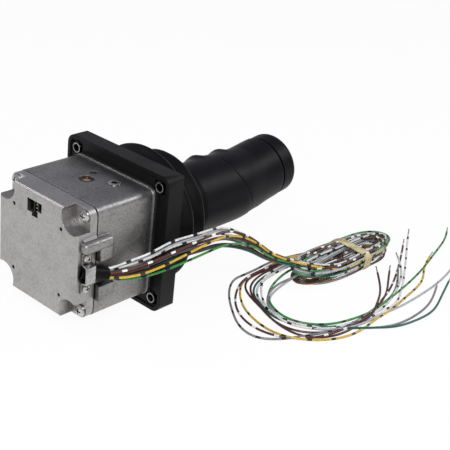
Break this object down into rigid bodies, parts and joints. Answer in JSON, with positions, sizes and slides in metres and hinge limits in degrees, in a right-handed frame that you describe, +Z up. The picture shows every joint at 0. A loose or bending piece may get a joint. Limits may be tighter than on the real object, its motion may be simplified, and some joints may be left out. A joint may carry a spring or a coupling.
{
  "type": "industrial joystick",
  "caption": "Flange-mounted two-axis industrial joystick: moulded grip with thumb rocker, rubber bellows, die-cast housing on a sprung gimbal, and a hank of loose wires.",
  "frame": {"origin": "centre of the flange's rear face, on the lever's axis", "axes": "+X along the lever from the panel to the grip; +Z up, away from the surface it lies on; +Y to the side away from the cable; the cable leaves the -Y side"},
  "size_m": [0.341, 0.2113, 0.095],
  "materials": {
    "black_moulding": "satin",
    "plated_steel": "bright zinc plate",
    "die_cast_alloy": "as cast, satin",
    "gasket": "matt",
    "cover_alloy": "fine blasted",
    "boot_rubber": "satin",
    "bronze": "sintered, matt",
    "circuit_board": "solder mask",
    "contact_metal": "bright",
    "spring_steel": "drawn",
    "turned_steel": "turned",
    "magnet": "nickel plate",
    "grip_plastic": "satin",
    "rocker_plastic": "fine matt",
    "wire_insulation": "smooth, eleven colours",
    "crepe_tape": "creped",
    "green_wire": "smooth",
    "white_wire": "smooth, black bands",
    "grey_wire": "smooth",
    "teal_wire": "smooth"
  },
  "bodies": {
    "base": {"mounting_flange": "black_moulding", "corner_nuts": "plated_steel", "flange_screws": "plated_steel", "housing": "die_cast_alloy", "cover_gasket": "gasket", "rear_cover": "cover_alloy", "cover_screws": "plated_steel", "cable_sleeve": "boot_rubber", "cable_clamp": "plated_steel", "clamp_screws": "plated_steel", "pivot_bushes": "bronze", "stop_screw": "plated_steel", "sensor_board": "circuit_board", "board_parts": "black_moulding", "board_screws": "plated_steel", "service_socket": "black_moulding", "socket_pins": "contact_metal", "yoke_spring": "spring_steel", "bellows_lower": "boot_rubber", "bellows_ring": "black_moulding", "ring_screws": "plated_steel", "wire_bundle": "wire_insulation", "wire_hank": "wire_insulation", "wire_tie": "crepe_tape", "wire_loop": "wire_insulation", "green_wire_tail": "green_wire", "banded_wire_tail": "white_wire", "grey_wire_tail": "grey_wire", "teal_wire_tail": "teal_wire"},
    "yoke": {"gimbal_yoke": "die_cast_alloy", "yoke_pins": "plated_steel", "yoke_bushes": "bronze", "lever_spring": "spring_steel"},
    "lever": {"lever_shaft": "turned_steel", "cross_shaft": "turned_steel", "shaft_clips": "spring_steel", "magnet_holder": "black_moulding", "sensor_magnet": "magnet", "bellows_upper": "boot_rubber", "neck_clip": "spring_steel", "grip_sleeve": "grip_plastic", "grip_head": "grip_plastic", "grip_nut": "plated_steel", "grip_cap": "grip_plastic", "rocker_pin": "turned_steel", "rocker_switch": "black_moulding"},
    "rocker": {"thumb_rocker": "rocker_plastic"}
  },
  "joints": [
    {"name": "lever_side", "type": "hinge", "parent": "base", "child": "yoke", "pos_m": [-0.0245, 0, 0], "axis": [0, 0, 1], "range_deg": [-12, 12], "stiffness_Nm_per_rad": 6, "deforming": ["bellows_lower", "yoke_spring"]},
    {"name": "lever_fore_aft", "type": "hinge", "parent": "yoke", "child": "lever", "pos_m": [-0.0245, 0, 0], "axis": [0, 1, 0], "range_deg": [-12, 12], "stiffness_Nm_per_rad": 6, "deforming": ["bellows_upper", "lever_spring"]},
    {"name": "thumb_rocker", "type": "hinge", "parent": "lever", "child": "rocker", "pos_m": [0.15747, 0, 0.0102], "axis": [0, 1, 0], "range_deg": [-10, 10], "stiffness_Nm_per_rad": 0.15}
  ]
}
